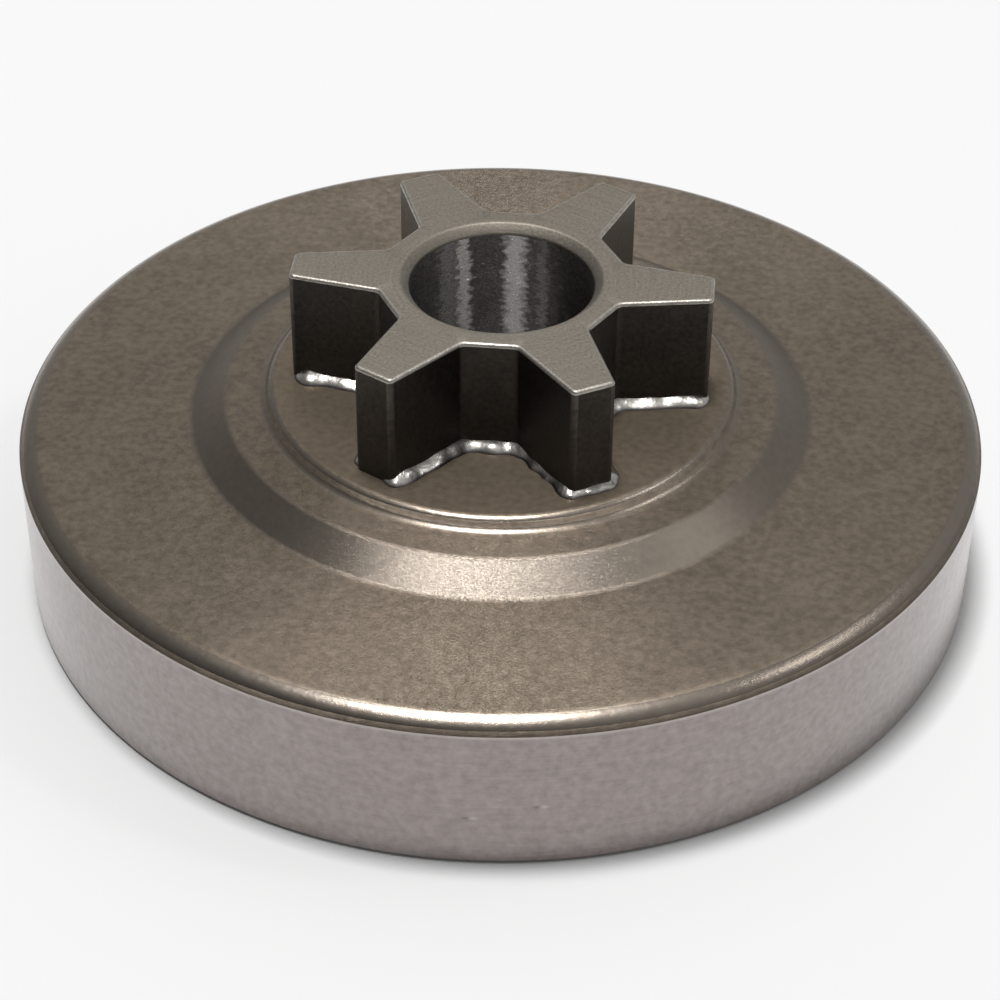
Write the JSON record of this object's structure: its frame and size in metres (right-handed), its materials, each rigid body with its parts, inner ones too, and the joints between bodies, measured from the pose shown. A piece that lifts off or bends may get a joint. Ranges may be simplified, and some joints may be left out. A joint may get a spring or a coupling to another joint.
{
  "type": "chainsaw spur sprocket",
  "caption": "Shallow pressed-steel clutch drum with a straight-toothed spur sprocket brazed on its raised centre and a plain bore through both; carries the saw chain.",
  "frame": {"origin": "on the axis, in the plane of the drum's open rim", "axes": "+Z along the axis from the rim to the teeth, +X through the middle of one tooth"},
  "size_m": [0.069, 0.069, 0.0228],
  "materials": {
    "drum_steel": "dull warm grey steel, tumbled face and fine turning marks on the wall",
    "sprocket_steel": "dull machined steel with bright broken edges",
    "braze_filler": "bright lumpy filler metal"
  },
  "bodies": {
    "root": {"clutch_drum": "drum_steel", "spur_sprocket": "sprocket_steel", "braze_bead": "braze_filler"}
  },
  "joints": []
}
